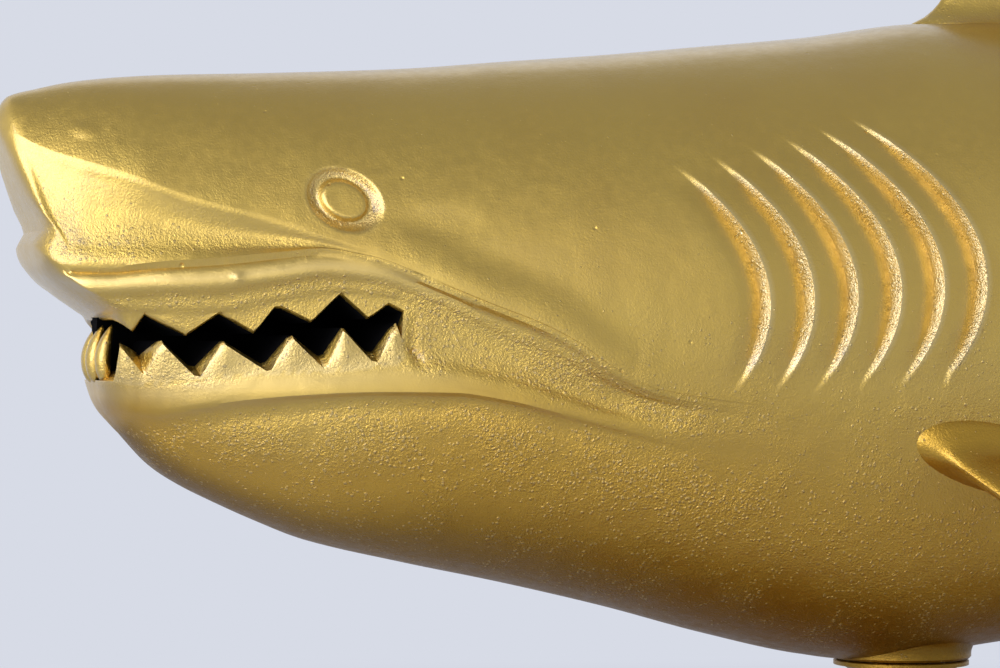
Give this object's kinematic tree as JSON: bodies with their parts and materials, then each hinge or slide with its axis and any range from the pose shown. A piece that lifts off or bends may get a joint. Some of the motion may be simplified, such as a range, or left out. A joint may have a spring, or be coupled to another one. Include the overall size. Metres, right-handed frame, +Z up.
{
  "type": "shark figurine",
  "caption": "Hollow cast shark ornament with bared teeth and gill slits, held up by a screwed stem on a flat base.",
  "frame": {"origin": "middle of the flat underside of the stand's base plate", "axes": "the head points to -X and the tail to +X, +Y is the fish's right side, +Z is up"},
  "size_m": [0.7, 0.3074, 0.3635],
  "materials": {
    "gold_casting": "sand-cast aluminium under satin gold lacquer, rough with grain and pits low on the flanks",
    "screw_steel": "zinc plated"
  },
  "bodies": {
    "root": {"shark": "gold_casting", "stand": "gold_casting", "stem_screw": "screw_steel"}
  },
  "joints": []
}
